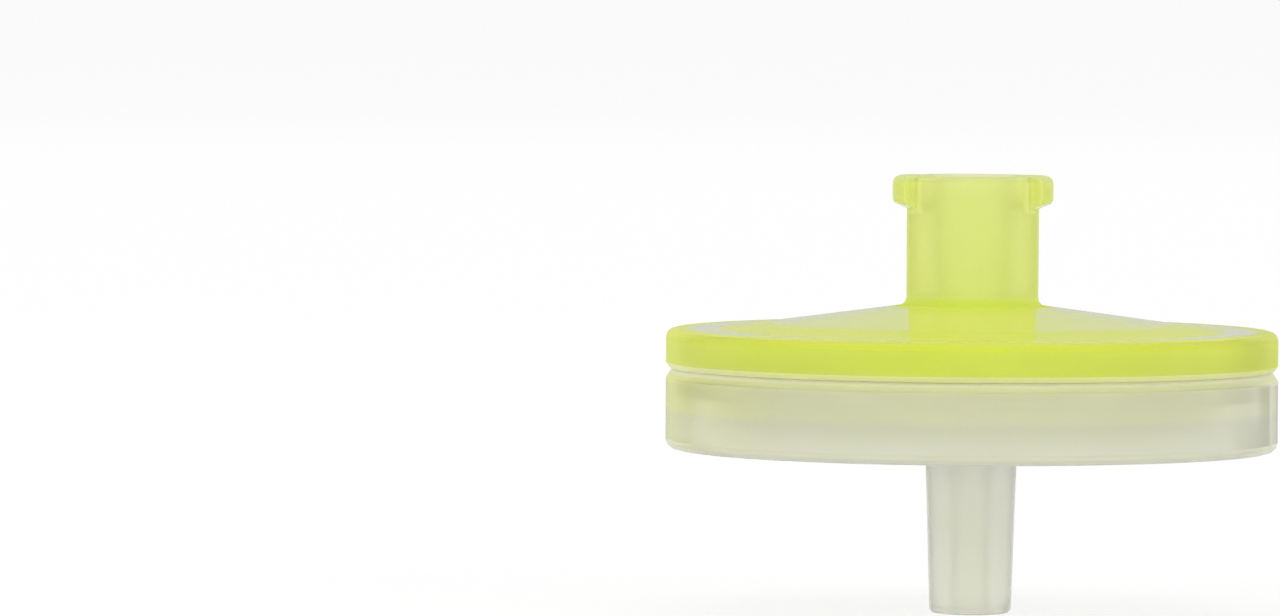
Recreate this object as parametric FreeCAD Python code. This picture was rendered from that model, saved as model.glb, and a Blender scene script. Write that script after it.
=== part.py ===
import FreeCAD, Part
import math
import os

# Syringe filter: a 25 mm membrane welded between two moulded housing halves. Millimetres.
# Origin at the centre of the outlet tip's end face, +Z along the flow axis towards the inlet.
# The lock lugs lie on +X and -X.

# ---- Driving dimensions -------------------------------------------------------------------------

# Outlet stem, a male luer slip
LUER_TAPER = 0.06                       # change of diameter per unit of length, also of the socket
STEM_TIP_DIAMETER = 3.98
STEM_LENGTH = 7.95                      # from the tip to the skirt's lower edge
STEM_BORE_DIAMETER = 2.0
STEM_TIP_ROUNDING = 0.3
STEM_ROOT_CHAMFER = 0.4

# Inlet hub, a female luer socket with two lock lugs
SOCKET_MOUTH_DIAMETER = 4.3
SOCKET_DEPTH = 6.0
SOCKET_MOUTH_CHAMFER = 0.12
HUB_DIAMETER = 6.42
HUB_EDGE_ROUNDING = 0.2
HUB_ROOT_FILLET = 0.4
LUG_COUNT = 2
LUG_DIAMETER = 7.82                     # across the crests of opposite lugs
LUG_CREST_HEIGHT = 1.3
LUG_FLANK_ANGLE = 24.0
LUG_ARC_ANGLE = 63.0
LUG_EDGE_ROUNDING = 0.35

# Disc of the housing
DISC_DIAMETER = 29.76
INLET_RIM_HEIGHT = 1.88
INLET_RIM_TOP_ROUNDING = 0.4
INLET_RIM_CHAMFER_WIDTH = 0.19
INLET_RIM_CHAMFER_HEIGHT = 0.25
DOME_FOOT_DIAMETER = 24.55
DOME_ANGLE = 7.8
OUTLET_BODY_HEIGHT = 3.95
OUTLET_CHAMFER_WIDTH = 0.33
OUTLET_CHAMFER_HEIGHT = 0.5
SKIRT_WALL = 0.78
SKIRT_LOWER_ROUNDING = 0.5

# Membrane, and the seat, clamp face and weld ring around it
MEMBRANE_DIAMETER = 25.0
MEMBRANE_THICKNESS = 0.15
MEMBRANE_EDGE_CLEARANCE = 0.1
CLAMP_WIDTH = 2.0                       # ring of the membrane held between the halves
WELD_RING_WIDTH = 0.6
WELD_RING_CLEARANCE = 0.05              # to the wall of the seat
SEAT_DEPTH = 0.62                       # below the parting plane

# Flow passages over the membrane
CHAMBER_EDGE_HEIGHT = 0.3
BAFFLE_THICKNESS = 2.37                 # floor of the socket, pierced by the inlet holes
INLET_HOLE_COUNT = 4
INLET_HOLE_CIRCLE_DIAMETER = 2.38
INLET_HOLE_WIDTH = 0.6
INLET_HOLE_LENGTH = 0.9                 # along the circle, rounded ends included
CHANNEL_COUNT = 4
CHANNEL_WIDTH = 0.5
CHANNEL_DEPTH = 0.7

# Drainage under the membrane
DRAIN_CHANNEL_COUNT = 8                 # long ones; as many short ones lie between them
DRAIN_CHANNEL_WIDTH = 0.6
DRAIN_CHANNEL_DEPTH = 0.4
DRAIN_RING_DIAMETER = 11.0              # round groove that the short ones start from
OUTLET_FUNNEL_DIAMETER = 3.4
OUTLET_FUNNEL_DEPTH = 0.7

# Cored underside of the outlet body
UNDERSIDE_RECESS_DEPTH = 0.95
CORE_GROOVE_WIDTH = 1.1                 # between the skirt and the membrane support
CORE_GROOVE_ROOF = 0.7                  # plastic left between that groove and the membrane seat

# ---- Radii and levels worked out from them ------------------------------------------------------

ORIGIN = FreeCAD.Vector(0, 0, 0)
AXIS = FreeCAD.Vector(0, 0, 1)
FULL_TURN = 360.0
TOOL_OVERLAP = 0.5                      # how far a cutting tool runs on into open space
EDGE_FLATS = 3                          # flats that round each outer edge

disc_radius = DISC_DIAMETER / 2
parting_z = STEM_LENGTH + OUTLET_BODY_HEIGHT
rim_top_z = parting_z + INLET_RIM_HEIGHT

membrane_radius = MEMBRANE_DIAMETER / 2
clamp_inner_radius = membrane_radius - CLAMP_WIDTH
weld_ring_inner_radius = membrane_radius + MEMBRANE_EDGE_CLEARANCE
weld_ring_radius = weld_ring_inner_radius + WELD_RING_WIDTH
seat_radius = weld_ring_radius + WELD_RING_CLEARANCE
seat_z = parting_z - SEAT_DEPTH
clamp_z = seat_z + MEMBRANE_THICKNESS

dome_slope = math.tan(math.radians(DOME_ANGLE))
dome_foot_radius = DOME_FOOT_DIAMETER / 2
hub_radius = HUB_DIAMETER / 2
hub_root_z = rim_top_z + (dome_foot_radius - hub_radius) * dome_slope

inlet_hole_circle_radius = INLET_HOLE_CIRCLE_DIAMETER / 2
baffle_radius = inlet_hole_circle_radius + INLET_HOLE_WIDTH
chamber_edge_z = clamp_z + CHAMBER_EDGE_HEIGHT
baffle_z = chamber_edge_z + (clamp_inner_radius - baffle_radius) * dome_slope
socket_floor_z = baffle_z + BAFFLE_THICKNESS
hub_top_z = socket_floor_z + SOCKET_DEPTH
socket_mouth_radius = SOCKET_MOUTH_DIAMETER / 2
socket_floor_radius = socket_mouth_radius - (SOCKET_DEPTH - SOCKET_MOUTH_CHAMFER) * LUER_TAPER / 2
lug_radius = LUG_DIAMETER / 2

stem_bore_radius = STEM_BORE_DIAMETER / 2
stem_tip_radius = STEM_TIP_DIAMETER / 2
underside_z = STEM_LENGTH + UNDERSIDE_RECESS_DEPTH
stem_root_radius = stem_tip_radius + (underside_z - STEM_ROOT_CHAMFER) * LUER_TAPER / 2
skirt_inner_radius = disc_radius - SKIRT_WALL
core_groove_inner_radius = skirt_inner_radius - CORE_GROOVE_WIDTH
core_groove_top_z = seat_z - CORE_GROOVE_ROOF
funnel_radius = OUTLET_FUNNEL_DIAMETER / 2
drain_ring_radius = DRAIN_RING_DIAMETER / 2


# ---- Building blocks ----------------------------------------------------------------------------

def unit(vector):
    return FreeCAD.Vector(vector).normalize()


def section(corners):
    """Face in the XZ plane. A corner is (radius, z), or (radius, z, rounding) for a tangent arc."""
    points = [FreeCAD.Vector(corner[0], 0, corner[1]) for corner in corners]
    edges = []
    line_starts = []
    line_ends = []
    for index, corner in enumerate(corners):
        point = points[index]
        line_starts.append(point)
        line_ends.append(point)
        if len(corner) == 3:
            rounding = corner[2]
            to_last = unit(points[index - 1] - point)
            to_next = unit(points[(index + 1) % len(points)] - point)
            half_angle = to_last.getAngle(to_next) / 2
            setback = rounding / math.tan(half_angle)
            arc_start = point + to_last * setback
            arc_end = point + to_next * setback
            arc_middle = point + unit(to_last + to_next) * (rounding / math.sin(half_angle) - rounding)
            edges.append(Part.Arc(arc_start, arc_middle, arc_end).toShape())
            line_ends[index] = arc_start
            line_starts[index] = arc_end
    for index in range(len(corners)):
        line_end = line_ends[(index + 1) % len(corners)]
        edges.append(Part.LineSegment(line_starts[index], line_end).toShape())
    return Part.Face(Part.Wire(Part.__sortEdges__(edges)))


def rounded_edge(radius, z, rounding, side):
    """Corners of an outer edge rounded by flats, from its face out to its wall. side: 1 top, -1 below."""
    corners = []
    for index in range(EDGE_FLATS + 1):
        angle = math.pi / 2 * (1 - index / EDGE_FLATS)
        inset = rounding * (1 - math.cos(angle))
        drop = rounding * (1 - math.sin(angle))
        corners.append((radius - inset, z - side * drop))
    return corners


def revolved(corners, angle=FULL_TURN):
    """Solid of revolution about the flow axis, starting in the XZ plane."""
    return section(corners).revolve(ORIGIN, AXIS, angle)


def radial_bar(corners, width):
    """Bar of a width, centred on the XZ plane, with its outline given as (radius, z) corners."""
    bar = section(corners).extrude(FreeCAD.Vector(0, width, 0))
    bar.translate(FreeCAD.Vector(0, -width / 2, 0))
    return bar


def around(shape, count):
    """Copies of a shape evenly spaced about the flow axis, the first one as given."""
    copies = []
    for index in range(count):
        copy = shape.copy()
        copy.rotate(ORIGIN, AXIS, index * FULL_TURN / count)
        copies.append(copy)
    return copies


# ---- Inlet housing ------------------------------------------------------------------------------

def inlet_body():
    """Hub with its blind socket, dome, rim, weld ring, clamp face and the chamber over the membrane."""
    return revolved([
        (0, socket_floor_z),
        (socket_floor_radius, socket_floor_z),
        (socket_mouth_radius, hub_top_z - SOCKET_MOUTH_CHAMFER),
        (socket_mouth_radius + SOCKET_MOUTH_CHAMFER, hub_top_z),
        *rounded_edge(hub_radius, hub_top_z, HUB_EDGE_ROUNDING, 1),
        (hub_radius, hub_root_z, HUB_ROOT_FILLET),
        (dome_foot_radius, rim_top_z),
        *rounded_edge(disc_radius, rim_top_z, INLET_RIM_TOP_ROUNDING, 1),
        (disc_radius, parting_z + INLET_RIM_CHAMFER_HEIGHT),
        (disc_radius - INLET_RIM_CHAMFER_WIDTH, parting_z),
        (weld_ring_radius, parting_z),
        (weld_ring_radius, seat_z),
        (weld_ring_inner_radius, seat_z),
        (weld_ring_inner_radius, clamp_z),
        (clamp_inner_radius, clamp_z),
        (clamp_inner_radius, chamber_edge_z),
        (baffle_radius, baffle_z),
        (0, baffle_z),
    ])


def lock_lug():
    """One lug on +X, flush with the hub's top, with a sloped flank under its crest."""
    root_radius = (socket_mouth_radius + hub_radius) / 2
    crest_bottom_z = hub_top_z - LUG_CREST_HEIGHT
    flank_drop = (lug_radius - root_radius) * math.tan(math.radians(LUG_FLANK_ANGLE))
    lug = revolved([
        (root_radius, hub_top_z),
        *rounded_edge(lug_radius, hub_top_z, LUG_EDGE_ROUNDING, 1),
        (lug_radius, crest_bottom_z, LUG_EDGE_ROUNDING),
        (root_radius, crest_bottom_z - flank_drop),
    ], LUG_ARC_ANGLE)
    lug.rotate(ORIGIN, AXIS, -LUG_ARC_ANGLE / 2)
    return lug


def inlet_hole():
    """Kidney-shaped hole through the socket floor, centred on +X and rounded at both ends."""
    start_z = baffle_z - TOOL_OVERLAP
    height = BAFFLE_THICKNESS + 2 * TOOL_OVERLAP
    end_radius = INLET_HOLE_WIDTH / 2
    half_turn = math.degrees((INLET_HOLE_LENGTH / 2 - end_radius) / inlet_hole_circle_radius)
    hole = revolved([
        (inlet_hole_circle_radius - end_radius, start_z),
        (inlet_hole_circle_radius + end_radius, start_z),
        (inlet_hole_circle_radius + end_radius, start_z + height),
        (inlet_hole_circle_radius - end_radius, start_z + height),
    ], 2 * half_turn)
    hole.rotate(ORIGIN, AXIS, -half_turn)
    for turn in (-half_turn, half_turn):
        end = Part.makeCylinder(end_radius, height, FreeCAD.Vector(inlet_hole_circle_radius, 0, start_z))
        end.rotate(ORIGIN, AXIS, turn)
        hole = hole.fuse(end)
    return hole


def distribution_channel():
    """Groove in the chamber's roof, from an inlet hole out to the clamp face."""
    start_z = baffle_z + (baffle_radius - inlet_hole_circle_radius) * dome_slope
    return radial_bar([
        (inlet_hole_circle_radius, clamp_z),
        (clamp_inner_radius, clamp_z),
        (clamp_inner_radius, chamber_edge_z + CHANNEL_DEPTH),
        (inlet_hole_circle_radius, start_z + CHANNEL_DEPTH),
    ], CHANNEL_WIDTH)


def inlet_housing():
    housing = inlet_body().fuse(around(lock_lug(), LUG_COUNT))
    passages = around(inlet_hole(), INLET_HOLE_COUNT) + around(distribution_channel(), CHANNEL_COUNT)
    return housing.cut(passages).removeSplitter()


# ---- Membrane -----------------------------------------------------------------------------------

def membrane():
    return Part.makeCylinder(membrane_radius, MEMBRANE_THICKNESS, FreeCAD.Vector(0, 0, seat_z))


# ---- Outlet housing -----------------------------------------------------------------------------

def outlet_body():
    """Membrane seat, cored body with its skirt, and the bored stem with a funnel at its top."""
    return revolved([
        (stem_bore_radius, 0),
        *rounded_edge(stem_tip_radius, 0, STEM_TIP_ROUNDING, -1),
        (stem_root_radius, underside_z - STEM_ROOT_CHAMFER),
        (stem_root_radius + STEM_ROOT_CHAMFER, underside_z),
        (core_groove_inner_radius, underside_z),
        (core_groove_inner_radius, core_groove_top_z),
        (skirt_inner_radius, core_groove_top_z),
        (skirt_inner_radius, STEM_LENGTH),
        *rounded_edge(disc_radius, STEM_LENGTH, SKIRT_LOWER_ROUNDING, -1),
        (disc_radius, parting_z - OUTLET_CHAMFER_HEIGHT),
        (disc_radius - OUTLET_CHAMFER_WIDTH, parting_z),
        (seat_radius, parting_z),
        (seat_radius, seat_z),
        (funnel_radius, seat_z),
        (stem_bore_radius, seat_z - OUTLET_FUNNEL_DEPTH),
    ])


def drain_ring():
    """Round groove in the membrane seat that joins all the drain channels."""
    return revolved([
        (drain_ring_radius - DRAIN_CHANNEL_WIDTH / 2, seat_z - DRAIN_CHANNEL_DEPTH),
        (drain_ring_radius + DRAIN_CHANNEL_WIDTH / 2, seat_z - DRAIN_CHANNEL_DEPTH),
        (drain_ring_radius + DRAIN_CHANNEL_WIDTH / 2, seat_z + TOOL_OVERLAP),
        (drain_ring_radius - DRAIN_CHANNEL_WIDTH / 2, seat_z + TOOL_OVERLAP),
    ])


def drain_channel(start_radius):
    """Straight groove along +X in the membrane seat, out to the clamped ring."""
    return radial_bar([
        (start_radius, seat_z - DRAIN_CHANNEL_DEPTH),
        (clamp_inner_radius, seat_z - DRAIN_CHANNEL_DEPTH),
        (clamp_inner_radius, seat_z + TOOL_OVERLAP),
        (start_radius, seat_z + TOOL_OVERLAP),
    ], DRAIN_CHANNEL_WIDTH)


def outlet_housing():
    short_channel = drain_channel(drain_ring_radius)
    short_channel.rotate(ORIGIN, AXIS, FULL_TURN / DRAIN_CHANNEL_COUNT / 2)
    grooves = [drain_ring()]
    grooves += around(drain_channel(stem_bore_radius), DRAIN_CHANNEL_COUNT)
    grooves += around(short_channel, DRAIN_CHANNEL_COUNT)
    return outlet_body().cut(grooves).removeSplitter()


# ---- Files --------------------------------------------------------------------------------------

os.makedirs("parts", exist_ok=True)
inlet_housing().exportStep("parts/inlet_housing.step")
membrane().exportStep("parts/membrane.step")
outlet_housing().exportStep("parts/outlet_housing.step")
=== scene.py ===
import math

import bpy
from mathutils import Matrix, Vector


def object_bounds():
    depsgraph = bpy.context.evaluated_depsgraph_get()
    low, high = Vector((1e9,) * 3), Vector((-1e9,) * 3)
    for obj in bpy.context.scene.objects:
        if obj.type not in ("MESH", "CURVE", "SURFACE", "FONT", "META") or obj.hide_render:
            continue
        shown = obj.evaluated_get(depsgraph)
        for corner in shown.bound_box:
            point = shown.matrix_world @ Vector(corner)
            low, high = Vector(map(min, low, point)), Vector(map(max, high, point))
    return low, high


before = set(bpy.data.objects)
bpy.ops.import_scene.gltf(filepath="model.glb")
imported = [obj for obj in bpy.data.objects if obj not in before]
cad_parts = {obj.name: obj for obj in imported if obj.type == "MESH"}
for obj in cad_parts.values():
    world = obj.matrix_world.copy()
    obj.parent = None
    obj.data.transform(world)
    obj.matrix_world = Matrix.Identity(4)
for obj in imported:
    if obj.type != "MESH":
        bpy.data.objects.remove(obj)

# Syringe filter: looks, light and camera, in the frame of the imported model. The scene is in metres.
# Distances in materials and areas are in mm.
# The camera's values, and most strengths, shares and levels of materials and light, are rounded
# from least-squares fits to the photo. Areas, most tint colours and places are chosen one by one.

MM = 0.001
CAD_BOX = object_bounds()

# ---- Camera -------------------------------------------------------------------------------------

EYE_DISTANCE = 537 * MM          # in front of the flow axis
EYE_HEIGHT = 36.9 * MM           # over the bench
AIM_SIDE = -16.16 * MM           # the picture's centre, left of the flow axis
AIM_HEIGHT = 14.73 * MM
PICTURE_WIDTH = 62.29 * MM       # seen across the flow axis
PICTURE_ROLL = 0.35              # degrees, right side down
SENSOR_WIDTH = 36.0

# ---- Light --------------------------------------------------------------------------------------

# Brightness of the studio tent at five heights, by kind of ray
TENT_HEIGHTS = (0.10, 0.20, 0.45, 0.70, 1.0)     # sine of the angle over the bench
TENT_FOR_DIFFUSE = (0.9, 0.3, 0.3, 0.65, 0.65)
TENT_FOR_GLOSS = (0.65, 0.65, 0.65, 1.15, 1.15)
TENT_FOR_CLEAR = (1.1, 0.85, 0.85, 1.1, 1.1)

BENCH_HALF_SIZE = 6.0
BENCH_MATT = 0.92
BENCH_GLOW = 0.83                # share of the bench's white that a shadow can't take away
BENCH_SHADOW = 0.22              # the share that it can
BENCH_GLOW_IN_GLOSS = 0.7        # how bright the bench is in reflections

# Soft boxes: place and size in m, power in W
LAMPS = {
    "left": ((-0.7, -0.6, 0.28), 0.5, 2.4),
    "right": ((0.7, -0.6, 0.28), 0.5, 2.4),
    "back": ((0.0, 0.8, 0.5), 0.6, 0.5),
    "overhead": ((0.0, 0.0, 1.0), 0.6, 1.0),
}

# Cards behind the filter for its walls to mirror: both ends of the foot, height in mm, colour
BLACK = (0.0, 0.0, 0.0, 1)
CARDS = {
    "black_card": (((60, 85), (80, 69)), 8.0, BLACK),
    "low_card": (((67, 74), (95, 31)), 5.2, BLACK),
    "green_card": (((-100, 60), (-15, 100)), 12.0, (0.6, 0.65, 0.4, 1)),
    "grey_card": (((12, 104), (57, 88)), 10.0, (0.5, 0.5, 0.4, 1)),
}

# ---- Levels and radii of the CAD model, mm ------------------------------------------------------

SKIRT_EDGE_Z = 7.95
PARTING_Z = 11.9
RIM_TOP_Z = 13.78
SOCKET_FLOOR_Z = 15.29
HUB_TOP_Z = CAD_BOX[1].z / MM
STEM_BORE_R = 1.0
SOCKET_R = 2.15
HUB_R = 3.21
CLAMP_R = 10.5
DOME_FOOT_R = 12.28
SKIRT_INNER_R = 14.1
DISC_R = CAD_BOX[1].x / MM

# ---- Areas of the plastic -----------------------------------------------------------------------

# An area is a list of limits (axis, outside, inside): it fades in from the outside value to the
# inside one. R is the distance from the flow axis and A the distance from the YZ plane. The
# greener left end of the undyed half is painted yellow-green light, and the darker right end of
# the rim painted shade. The others follow the forms; the colours of several are painted light or
# shade too.

INLET_AREAS = {
    # Paler inside faces of the dyed half: painted light within the housing.
    "inner faces, painted light": [("R", DOME_FOOT_R + 0.6, DOME_FOOT_R + 0.3),
                    ("Z", RIM_TOP_Z - 0.2, RIM_TOP_Z - 0.3)],
    # Paler wall of the socket: painted light in the hub's middle.
    "socket wall, painted light": [("R", SOCKET_R + 0.35, SOCKET_R + 0.2),
                    ("Z", SOCKET_FLOOR_Z + 0.05, SOCKET_FLOOR_Z + 0.2)],
    "socket": [("R", SOCKET_R + 0.45, SOCKET_R + 0.25),
               ("Z", SOCKET_FLOOR_Z - 0.1, SOCKET_FLOOR_Z + 0.1)],
    "socket floor": [("R", SOCKET_R + 0.05, SOCKET_R - 0.05),
                     ("Z", SOCKET_FLOOR_Z + 0.15, SOCKET_FLOOR_Z + 0.05),
                     ("Z", SOCKET_FLOOR_Z - 0.4, SOCKET_FLOOR_Z - 0.2)],
    # Darker top edge of the hub: painted shade against the light from above.
    "mouth, painted shade": [("Z", HUB_TOP_Z - 0.35, HUB_TOP_Z - 0.2)],
    "hub": [("Z", SOCKET_FLOOR_Z - 0.2, SOCKET_FLOOR_Z + 0.2)],
    "hub wall": [("R", SOCKET_R + 0.25, SOCKET_R + 0.45),
                 ("Z", SOCKET_FLOOR_Z - 0.2, SOCKET_FLOOR_Z + 0.2)],
    "hub foot": [("R", HUB_R + 0.9, HUB_R + 0.4),
                 ("R", HUB_R - 0.7, HUB_R - 0.5),
                 ("Z", SOCKET_FLOOR_Z + 0.3, SOCKET_FLOOR_Z + 0.1),
                 ("Z", SOCKET_FLOOR_Z - 0.7, SOCKET_FLOOR_Z - 0.5)],
    "lugs": [("A", HUB_R - 1.0, HUB_R - 0.6),
             ("R", HUB_R - 0.7, HUB_R - 0.6),
             ("Z", HUB_TOP_Z - 2.1, HUB_TOP_Z - 1.7)],
    # Paler corners between the lugs and the hub: painted light where shade falls.
    "lug corners, painted light": [("A", HUB_R - 0.8, HUB_R - 0.6),
                    ("A", HUB_R - 0.1, HUB_R - 0.3),
                    ("R", HUB_R - 0.1, HUB_R),
                    ("R", HUB_R + 0.4, HUB_R + 0.2),
                    ("Z", HUB_TOP_Z - 1.9, HUB_TOP_Z - 1.7)],
    "dome": [("R", HUB_R + 0.4, HUB_R + 1.0),
             ("R", CLAMP_R - 0.5, CLAMP_R - 1.5),
             ("Z", RIM_TOP_Z + 0.1, RIM_TOP_Z + 0.2)],
    "dome foot": [("R", CLAMP_R - 1.2, CLAMP_R - 0.2),
                  ("R", DOME_FOOT_R + 0.3, DOME_FOOT_R - 0.1),
                  ("Z", RIM_TOP_Z - 0.6, RIM_TOP_Z - 0.2)],
    "rim edge": [("R", DISC_R - 1.4, DISC_R - 0.7),
                 ("Z", RIM_TOP_Z - 0.6, RIM_TOP_Z - 0.3)],
    "rim wall": [("R", DISC_R - 0.9, DISC_R - 0.3),
                 ("Z", PARTING_Z, PARTING_Z + 0.1)],
    # Darker right end of the rim: painted shade.
    "rim right, painted shade": [("X", DISC_R - 3.4, DISC_R - 0.7),
                   ("Z", RIM_TOP_Z + 0.7, RIM_TOP_Z + 0.2)],
    # Paler lowest faces of the dyed half, by the parting: painted light in the crease.
    "groove, painted light": [("Z", PARTING_Z + 0.3, PARTING_Z + 0.22)],
}

OUTER_WALL = ("R", SKIRT_INNER_R - 0.5, SKIRT_INNER_R - 0.1)
OVER_SKIRT_EDGE = ("Z", SKIRT_EDGE_Z - 0.3, SKIRT_EDGE_Z)
OUTLET_AREAS = {
    # Paler inside faces of the undyed half: painted light within the housing.
    "inner faces, painted light": [("R", SKIRT_INNER_R - 0.5, SKIRT_INNER_R - 0.8),
                    ("Z", PARTING_Z - 1.9, PARTING_Z - 1.7)],
    "bore": [("R", STEM_BORE_R + 0.2, STEM_BORE_R + 0.1)],
    "stem": [("Z", SKIRT_EDGE_Z + 0.35, SKIRT_EDGE_Z - 0.05)],
    # Paler top of the stem: painted light in the disc's shade.
    "stem root, painted light": [("R", STEM_BORE_R + 2.0, STEM_BORE_R + 1.5),
                  ("Z", SKIRT_EDGE_Z - 4.5, SKIRT_EDGE_Z - 0.5)],
    # Greener left end of the undyed half: painted yellow-green light.
    "left": [("X", -DISC_R + 6.9, -DISC_R + 0.9), OVER_SKIRT_EDGE],
    # Paler bottom of the undyed wall: painted light on the faces that look down.
    "foot": [("R", SKIRT_INNER_R - 0.9, SKIRT_INNER_R - 0.5),
             ("Z", SKIRT_EDGE_Z + 0.55, SKIRT_EDGE_Z + 0.35), OVER_SKIRT_EDGE],
    "lower wall": [OUTER_WALL, ("Z", PARTING_Z - 1.7, PARTING_Z - 2.3), OVER_SKIRT_EDGE],
    # Yellow-green top of the undyed wall: painted light from the dyed half.
    "upper edge, painted yellow light": [OUTER_WALL, ("Z", PARTING_Z - 0.7, PARTING_Z - 0.4)],
    # Paler band in the crease by the parting: painted light.
    "groove, painted light": [OUTER_WALL, ("Z", PARTING_Z - 0.52, PARTING_Z - 0.42)],
    "upper faces": [("Z", PARTING_Z - 0.55, PARTING_Z - 0.3)],
    # White band just under the parting: painted light in the crease.
    "weld band, painted light": [OUTER_WALL, ("Z", PARTING_Z - 0.3, PARTING_Z - 0.15)],
}


# ---- Shader nodes -------------------------------------------------------------------------------

def feed(tree, socket, value):
    """Links an output to the socket, or sets its value."""
    if isinstance(value, bpy.types.NodeSocket):
        tree.links.new(value, socket)
    else:
        socket.default_value = value


def add_node(tree, kind, *values, **inputs):
    """New shader node's first output. Inputs go by place, or by name with _ for a space."""
    node = tree.nodes.new(kind)
    for socket, value in zip(node.inputs, values):
        feed(tree, socket, value)
    for name, value in inputs.items():
        feed(tree, node.inputs[name.replace("_", " ")], value)
    return node.outputs[0]


def calculate(tree, operation, *values):
    """Math node."""
    node = tree.nodes.new("ShaderNodeMath")
    node.operation = operation
    for socket, value in zip(node.inputs, values):
        feed(tree, socket, value)
    return node.outputs["Value"]


def blend(tree, factor, first, second, kind="Float"):
    """Mix of two numbers, or of two colours where kind is Color."""
    node = tree.nodes.new("ShaderNodeMix")
    node.data_type = {"Float": "FLOAT", "Color": "RGBA"}[kind]
    inputs = {socket.identifier: socket for socket in node.inputs}
    feed(tree, inputs["Factor_Float"], factor)
    feed(tree, inputs["A_" + kind], first)
    feed(tree, inputs["B_" + kind], second)
    return next(socket for socket in node.outputs if socket.identifier == "Result_" + kind)


def ramp(tree, value, start, end, low=0.0, high=1.0):
    """Smooth step of a value, from low at start to high at end."""
    node = tree.nodes.new("ShaderNodeMapRange")
    node.interpolation_type = "SMOOTHSTEP"
    given = {"Value": value, "From Min": start, "From Max": end, "To Min": low, "To Max": high}
    for name, number in given.items():
        feed(tree, node.inputs[name], number)
    return node.outputs["Result"]


def position_in_mm(tree):
    """Place on the object, which stays with it when it moves."""
    node = tree.nodes.new("ShaderNodeVectorMath")
    node.operation = "SCALE"
    tree.links.new(tree.nodes.new("ShaderNodeTexCoord").outputs["Object"], node.inputs[0])
    node.inputs["Scale"].default_value = 1 / MM
    return node.outputs["Vector"]


def axis_values(tree, place):
    """What the areas' limits are measured along: X, Y, Z, A and R."""
    split = tree.nodes.new("ShaderNodeSeparateXYZ")
    tree.links.new(place, split.inputs[0])
    values = {axis: split.outputs[axis] for axis in "XYZ"}
    values["A"] = calculate(tree, "ABSOLUTE", values["X"])
    squares = [calculate(tree, "MULTIPLY", values[axis], values[axis]) for axis in "XY"]
    values["R"] = calculate(tree, "SQRT", calculate(tree, "ADD", *squares))
    return values


def area_masks(tree, place, areas):
    """For each area a value that is 1 inside all its limits and 0 outside any of them."""
    values = axis_values(tree, place)
    masks = {}
    for name, limits in areas.items():
        mask = None
        for axis, outside, inside in limits:
            if outside < inside:
                step = ramp(tree, values[axis], outside, inside)
            else:
                step = ramp(tree, values[axis], inside, outside, 1.0, 0.0)
            mask = step if mask is None else calculate(tree, "MULTIPLY", mask, step)
        masks[name] = mask
    return masks


def new_material(name, make_shaders):
    """Material whose output gets the shaders that make_shaders(tree) gives, by socket name."""
    material = bpy.data.materials.new(name)
    material.use_nodes = True
    tree = material.node_tree
    tree.nodes.clear()
    output = tree.nodes.new("ShaderNodeOutputMaterial")
    for socket, shader in make_shaders(tree).items():
        tree.links.new(shader, output.inputs[socket])
    return material


# ---- Materials ----------------------------------------------------------------------------------

WHITE = (1, 1, 1, 1)
POLYPROPYLENE_IOR = 1.49
HAZE = 0.5                       # roughness of what is seen through the plastic
GRAZING_LOSS = 0.9               # of the clear share, where a surface is seen at a flat angle
GRAZING = (0.55, 0.85)           # Layer Weight's Facing where that loss begins and is complete
LEVEL_FACES = (0.3, 0.9)         # the normal's upright share, from a wall to a level face
POLISH = (0.09, 0.15)            # roughness of the gloss, least and most
INNER_CLEAR = 0.15               # see-through share of most faces seen from inside the plastic
CLOUD_SCALE = 0.28               # noise that the colour drifts with, per mm
WAVE_SCALE = 0.9                 # noise of the surface: slow waves and fine grain, per mm
GRAIN_SCALE = 5.0
WAVES_TO_GRAIN = 1.5             # how much higher the waves are than the grain
GRAIN_HEIGHT = 0.003             # mm
PORE_SCALE = 12.0                # noise of the membrane, per mm
PORE_DEPTH = 0.01                # mm


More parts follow.
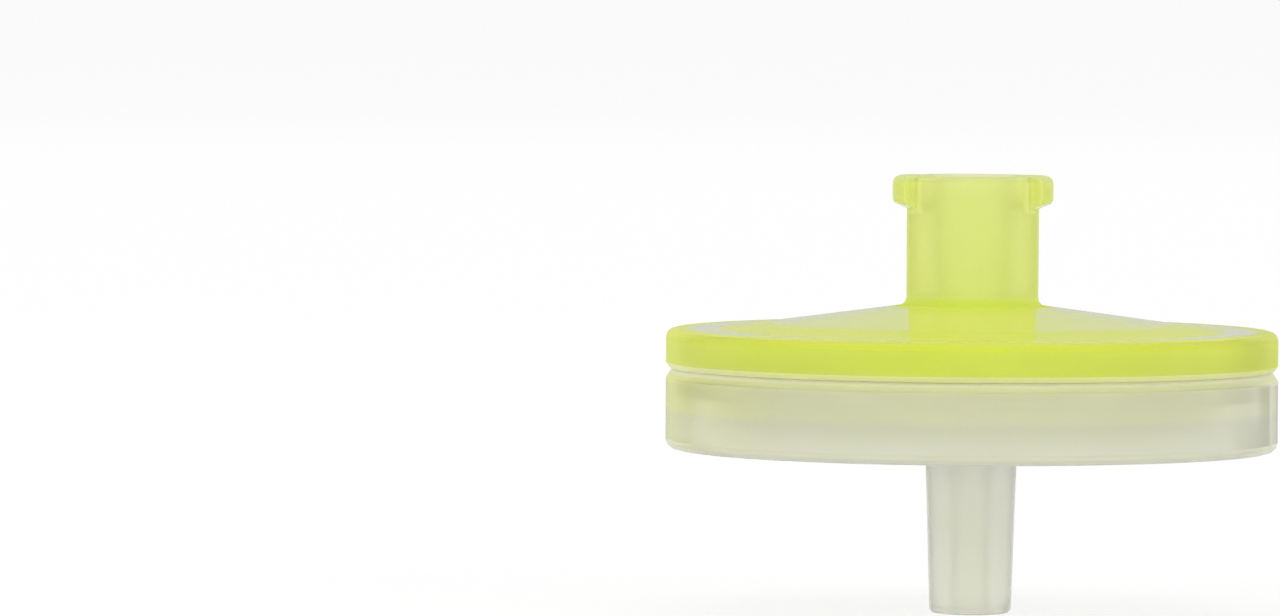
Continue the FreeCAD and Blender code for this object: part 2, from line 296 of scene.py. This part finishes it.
def polypropylene(name, colours, tints_and_painted_light, areas, clear, glow, gloss, absorbed):
    """Moulded translucent plastic: most light wanders through it, and the rest passes with a blur.

    tints_and_painted_light: (area, colour, strength), one over another. Several are painted light or
    shade.
    clear: tint and see-through share from outside, and (area, from outside, from inside) where
    it differs.
    glow: how far light wanders in mm, and the tint of the faces seen from inside.
    gloss: of upright faces, and (area, gloss) where it differs. Other level faces and all faces
    seen from inside have the full gloss.
    absorbed: the colour that light turns to on its way through, and how fast, per metre.
    """
    def shaders(tree):
        place = position_in_mm(tree)
        masks = area_masks(tree, place, areas)
        cloud = add_node(tree, "ShaderNodeTexNoise", Vector=place, Scale=CLOUD_SCALE, Detail=3.0)
        grain = add_node(tree, "ShaderNodeTexNoise", Vector=place, Scale=GRAIN_SCALE, Detail=2.0)
        wave = add_node(tree, "ShaderNodeTexNoise", Vector=place, Scale=WAVE_SCALE, Detail=1.0)
        colour = blend(tree, cloud, *colours, "Color")
        for area, tint, strength in tints_and_painted_light:
            mask = calculate(tree, "MULTIPLY", masks[area], strength)
            colour = blend(tree, mask, colour, tint, "Color")
        height = calculate(tree, "MULTIPLY_ADD", wave, WAVES_TO_GRAIN, grain)
        bump = add_node(
            tree, "ShaderNodeBump", Height=height, Strength=0.2, Distance=GRAIN_HEIGHT * MM)
        rough = calculate(tree, "MULTIPLY_ADD", grain, POLISH[1] - POLISH[0], POLISH[0])

        milky = add_node(
            tree, "ShaderNodeBsdfPrincipled", Base_Color=colour, Roughness=0.5, Normal=bump,
            IOR=POLYPROPYLENE_IOR, Specular_IOR_Level=0.0, Subsurface_Weight=1.0,
            Subsurface_Radius=(1.0, 1.0, 1.0), Subsurface_Scale=glow["reach"] * MM)
        lit = add_node(tree, "ShaderNodeBsdfTranslucent", Color=glow["inner tint"])
        seen_through = add_node(
            tree, "ShaderNodeBsdfRefraction", Color=clear["tint"], Roughness=HAZE, Normal=bump,
            IOR=POLYPROPYLENE_IOR)
        share, inner_share = clear["outside"], INNER_CLEAR
        for area, there, inner_there in clear["areas"]:
            share = blend(tree, masks[area], share, there)
            inner_share = blend(tree, masks[area], inner_share, inner_there)
        flatness = tree.nodes.new("ShaderNodeLayerWeight").outputs["Facing"]
        kept = ramp(tree, flatness, *GRAZING, 1.0, 1.0 - GRAZING_LOSS)
        share = calculate(tree, "MULTIPLY", share, kept)
        within = tree.nodes.new("ShaderNodeNewGeometry").outputs["Backfacing"]
        outside = add_node(tree, "ShaderNodeMixShader", share, milky, seen_through)
        inside = add_node(tree, "ShaderNodeMixShader", inner_share, lit, seen_through)
        body = add_node(tree, "ShaderNodeMixShader", within, outside, inside)

        split = tree.nodes.new("ShaderNodeSeparateXYZ")
        tree.links.new(tree.nodes.new("ShaderNodeNewGeometry").outputs["Normal"], split.inputs[0])
        levelness = calculate(tree, "ABSOLUTE", split.outputs["Z"])
        strength = ramp(tree, levelness, *LEVEL_FACES, gloss["walls"], 1.0)
        for area, there in gloss["areas"]:
            strength = blend(tree, masks[area], strength, there)
        strength = calculate(tree, "MAXIMUM", strength, within)
        fresnel = add_node(tree, "ShaderNodeFresnel", IOR=POLYPROPYLENE_IOR, Normal=bump)
        mirrored = calculate(tree, "MULTIPLY", fresnel, strength)
        shine = add_node(
            tree, "ShaderNodeBsdfGlossy", Color=WHITE, Roughness=rough, Normal=bump)
        surface = add_node(tree, "ShaderNodeMixShader", mirrored, body, shine)
        volume = add_node(
            tree, "ShaderNodeVolumeAbsorption", Color=absorbed["colour"],
            Density=absorbed["density"])
        return {"Surface": surface, "Volume": volume}
    return new_material(name, shaders)


def filter_film(name):
    """Matt white microporous membrane."""
    def shaders(tree):
        place = position_in_mm(tree)
        pores = add_node(tree, "ShaderNodeTexNoise", Vector=place, Scale=PORE_SCALE, Detail=4.0)
        colour = blend(tree, pores, (0.84, 0.84, 0.82, 1), (0.90, 0.90, 0.885, 1), "Color")
        bump = add_node(
            tree, "ShaderNodeBump", Height=pores, Strength=0.4, Distance=PORE_DEPTH * MM)
        surface = add_node(
            tree, "ShaderNodeBsdfPrincipled", Base_Color=colour, Roughness=0.8, Normal=bump)
        return {"Surface": surface}
    return new_material(name, shaders)


def dress(node_name, material):
    """Gives the CAD node this material alone."""
    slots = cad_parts[node_name].data.materials
    slots.clear()
    slots.append(material)


def inlet_plastic():
    """Yellow-green dyed half."""
    return polypropylene(
        "inlet_plastic",
        colours=[(0.76, 0.87, 0.15, 1), (0.72, 0.83, 0.08, 1)],
        tints_and_painted_light=[
            # Painted light: inside faces made pale, as if lit through the walls.
            ("inner faces, painted light", (0.95, 0.95, 0.15, 1), 1.0),
            # Painted light: paler wall of the socket in the hub's middle.
            ("socket wall, painted light", (0.95, 0.95, 0.8, 1), 0.6),
            ("dome foot", (0.75, 0.85, 0.0, 1), 0.15),
            ("rim wall", (0.75, 0.85, 0.3, 1), 0.25),
            # Painted light: paler faces in the crease by the parting.
            ("groove, painted light", (1.0, 1.0, 0.6, 1), 0.6),
            ("rim edge", (0.75, 0.85, 0.0, 1), 0.3),
            # Painted shade: darker right end of the rim.
            ("rim right, painted shade", (0.55, 0.6, 0.1, 1), 0.45),
            ("hub wall", (0.8, 0.8, 0.45, 1), 0.4),
            ("dome", (0.75, 0.85, 0.0, 1), 0.2),
            ("socket floor", (0.85, 0.9, 0.15, 1), 1.0),
            # Painted light: paler corners between the lugs and the hub.
            ("lug corners, painted light", (0.95, 0.95, 0.5, 1), 0.5),
            # Painted shade: darker top edge of the hub.
            ("mouth, painted shade", (0.65, 0.75, 0.25, 1), 0.75)],
        areas=INLET_AREAS,
        clear={"tint": (0.98, 0.99, 0.9, 1), "outside": 0.2, "areas": [
            ("hub", 0.35, INNER_CLEAR),
            ("socket", 1.0, 1.0),
            ("dome foot", 0.1, INNER_CLEAR),
            ("dome", 0.0, INNER_CLEAR),
            ("hub foot", 0.0, INNER_CLEAR),
            ("lugs", 0.1, INNER_CLEAR),
            ("socket floor", 0.2, INNER_CLEAR),
            ("groove, painted light", 0.15, INNER_CLEAR)]},
        glow={"reach": 1.0, "inner tint": (0.85, 0.85, 0.8, 1)},
        gloss={"walls": 0.05, "areas": [
            ("dome foot", 0.45),
            ("rim edge", 0.25),
            ("mouth, painted shade", 0.0),
            ("hub foot", 0.0),
            ("groove, painted light", 0.0)]},
        absorbed={"colour": (0.99, 1.0, 0.0, 1), "density": 180.0})


def outlet_plastic():
    """Undyed half."""
    return polypropylene(
        "outlet_plastic",
        colours=[(0.88, 0.9, 0.6, 1), (0.84, 0.86, 0.55, 1)],
        tints_and_painted_light=[
            # Painted light: inside faces made pale, as if lit through the walls.
            ("inner faces, painted light", (0.95, 0.95, 0.9, 1), 1.0),
            # Painted light: greener left end of the undyed half.
            ("left", (0.85, 0.9, 0.2, 1), 0.65),
            # Painted light: paler bottom of the undyed wall.
            ("foot", (0.95, 0.95, 0.45, 1), 0.5),
            # Painted light: yellow-green top of the undyed wall, from the dyed half.
            ("upper edge, painted yellow light", (0.75, 0.85, 0.2, 1), 0.3),
            ("lower wall", (0.6, 0.6, 0.6, 1), 0.4),
            # Painted light: paler band in the crease by the parting.
            ("groove, painted light", (0.9, 0.9, 0.5, 1), 0.2),
            # Painted light: white band just under the parting.
            ("weld band, painted light", (1.0, 1.0, 0.7, 1), 1.0),
            ("stem", (0.75, 0.75, 0.75, 1), 0.65),
            # Painted light: paler top of the stem, in the disc's shade.
            ("stem root, painted light", (1.0, 1.0, 0.95, 1), 0.7)],
        areas=OUTLET_AREAS,
        clear={"tint": (0.98, 0.98, 0.95, 1), "outside": 0.45, "areas": [
            ("stem", 0.55, INNER_CLEAR),
            ("bore", 1.0, 1.0),
            ("upper faces", 0.15, INNER_CLEAR),
            ("weld band, painted light", 0.0, INNER_CLEAR)]},
        glow={"reach": 1.5, "inner tint": (0.95, 0.95, 0.9, 1)},
        gloss={"walls": 1.0, "areas": [
            ("foot", 0.1),
            ("upper edge, painted yellow light", 0.0),
            ("weld band, painted light", 0.0)]},
        absorbed={"colour": (1.0, 1.0, 0.95, 1), "density": 100.0})


dress("inlet_housing", inlet_plastic())
dress("outlet_housing", outlet_plastic())
dress("membrane", filter_film("membrane"))


# ---- Stage --------------------------------------------------------------------------------------

def grey(level):
    return (level, level, level, 1)


def stage_sheet(name, corners, make_shaders):
    """Four-cornered sheet that isn't part of the filter."""
    mesh = bpy.data.meshes.new(name)
    mesh.from_pydata(corners, [], [range(len(corners))])
    mesh.materials.append(new_material(name, make_shaders))
    sheet = bpy.data.objects.new(name, mesh)
    bpy.context.scene.collection.objects.link(sheet)
    return sheet


def bench():
    """White floor that takes the filter's shadow. From below it can be looked through."""
    def shaders(tree):
        path = tree.nodes.new("ShaderNodeLightPath").outputs
        direct = calculate(tree, "MAXIMUM", path["Is Camera Ray"], path["Is Glossy Ray"])
        direct = calculate(tree, "MAXIMUM", direct, path["Is Transmission Ray"])
        matt = add_node(tree, "ShaderNodeBsdfDiffuse", Color=grey(BENCH_MATT))
        dim = add_node(tree, "ShaderNodeBsdfDiffuse", Color=grey(BENCH_SHADOW))
        level = blend(tree, path["Is Glossy Ray"], BENCH_GLOW, BENCH_GLOW_IN_GLOSS)
        glow = add_node(tree, "ShaderNodeEmission", Color=WHITE, Strength=level)
        seen = add_node(tree, "ShaderNodeAddShader", dim, glow)
        above = add_node(tree, "ShaderNodeMixShader", direct, matt, seen)
        below = add_node(tree, "ShaderNodeBsdfTransparent")
        underside = tree.nodes.new("ShaderNodeNewGeometry").outputs["Backfacing"]
        return {"Surface": add_node(tree, "ShaderNodeMixShader", underside, above, below)}
    half = BENCH_HALF_SIZE
    corners = [(-half, -half, 0), (half, -half, 0), (half, half, 0), (-half, half, 0)]
    stage_sheet("bench", corners, shaders)


def card(name, ends, height, colour):
    """Upright card on the bench. Only reflections show it."""
    def shaders(tree):
        return {"Surface": add_node(tree, "ShaderNodeEmission", Color=colour, Strength=1.0)}
    left, right = ((x * MM, y * MM) for x, y in ends)
    top = height * MM
    sheet = stage_sheet(name, [(*left, 0), (*right, 0), (*right, top), (*left, top)], shaders)
    for ray in ("camera", "diffuse", "transmission", "shadow", "volume_scatter"):
        setattr(sheet, "visible_" + ray, False)


def tent():
    """Studio tent with its own brightness for each kind of ray. The camera sees it white."""
    world = bpy.data.worlds.new("studio")
    bpy.context.scene.world = world
    world.use_nodes = True
    tree = world.node_tree
    tree.nodes.clear()
    split = tree.nodes.new("ShaderNodeSeparateXYZ")
    tree.links.new(tree.nodes.new("ShaderNodeTexCoord").outputs["Generated"], split.inputs[0])

    def brightness(levels):
        node = tree.nodes.new("ShaderNodeValToRGB")
        node.color_ramp.interpolation = "EASE"
        tree.links.new(split.outputs["Z"], node.inputs["Fac"])
        stops = node.color_ramp.elements
        stops[0].position, stops[1].position = TENT_HEIGHTS[0], TENT_HEIGHTS[-1]
        for position in TENT_HEIGHTS[1:-1]:
            stops.new(position)
        for stop, level in zip(stops, levels):
            stop.color = grey(level)
        return node.outputs["Color"]

    path = tree.nodes.new("ShaderNodeLightPath").outputs
    strength = blend(
        tree, path["Is Glossy Ray"], brightness(TENT_FOR_DIFFUSE), brightness(TENT_FOR_GLOSS),
        "Color")
    strength = blend(
        tree, path["Is Transmission Ray"], strength, brightness(TENT_FOR_CLEAR), "Color")
    strength = calculate(tree, "MAXIMUM", strength, path["Is Camera Ray"])
    background = add_node(tree, "ShaderNodeBackground", Color=WHITE, Strength=strength)
    tree.links.new(background, tree.nodes.new("ShaderNodeOutputWorld").inputs["Surface"])


def soft_lamp(name, place, size, watts):
    """Square soft box aimed at the filter's middle. It isn't seen in reflections."""
    light = bpy.data.lights.new(name, "AREA")
    light.size = size
    light.energy = watts
    lamp = bpy.data.objects.new(name, light)
    bpy.context.scene.collection.objects.link(lamp)
    lamp.location = place
    middle = (CAD_BOX[0] + CAD_BOX[1]) / 2
    lamp.rotation_euler = (middle - Vector(place)).to_track_quat("-Z", "Y").to_euler()
    lamp.visible_glossy = False


def camera():
    """Camera at the photo's height and roll, about half a metre away."""
    data = bpy.data.cameras.new("camera")
    eye = Vector((0, -EYE_DISTANCE, EYE_HEIGHT))
    aim = Vector((AIM_SIDE, 0, AIM_HEIGHT))
    data.sensor_width = SENSOR_WIDTH
    data.lens = SENSOR_WIDTH * (aim - eye).length / PICTURE_WIDTH
    data.clip_start = 0.01
    data.clip_end = 3 * BENCH_HALF_SIZE
    rig = bpy.data.objects.new("camera", data)
    bpy.context.scene.collection.objects.link(rig)
    upright = (aim - eye).to_track_quat("-Z", "Y").to_matrix().to_4x4()
    roll = Matrix.Rotation(math.radians(PICTURE_ROLL), 4, "Z")
    rig.matrix_world = Matrix.Translation(eye) @ upright @ roll
    bpy.context.scene.camera = rig


bench()
for card_name, card_settings in CARDS.items():
    card(card_name, *card_settings)
tent()
for lamp_name, lamp_settings in LAMPS.items():
    soft_lamp(lamp_name, *lamp_settings)
camera()
bpy.context.scene.view_settings.view_transform = "Standard"

# Light crosses many walls of clear plastic before it leaves
cycles = bpy.context.scene.cycles
cycles.max_bounces = 32
cycles.diffuse_bounces = 16
cycles.glossy_bounces = 8
cycles.transmission_bounces = 24
cycles.caustics_refractive = True
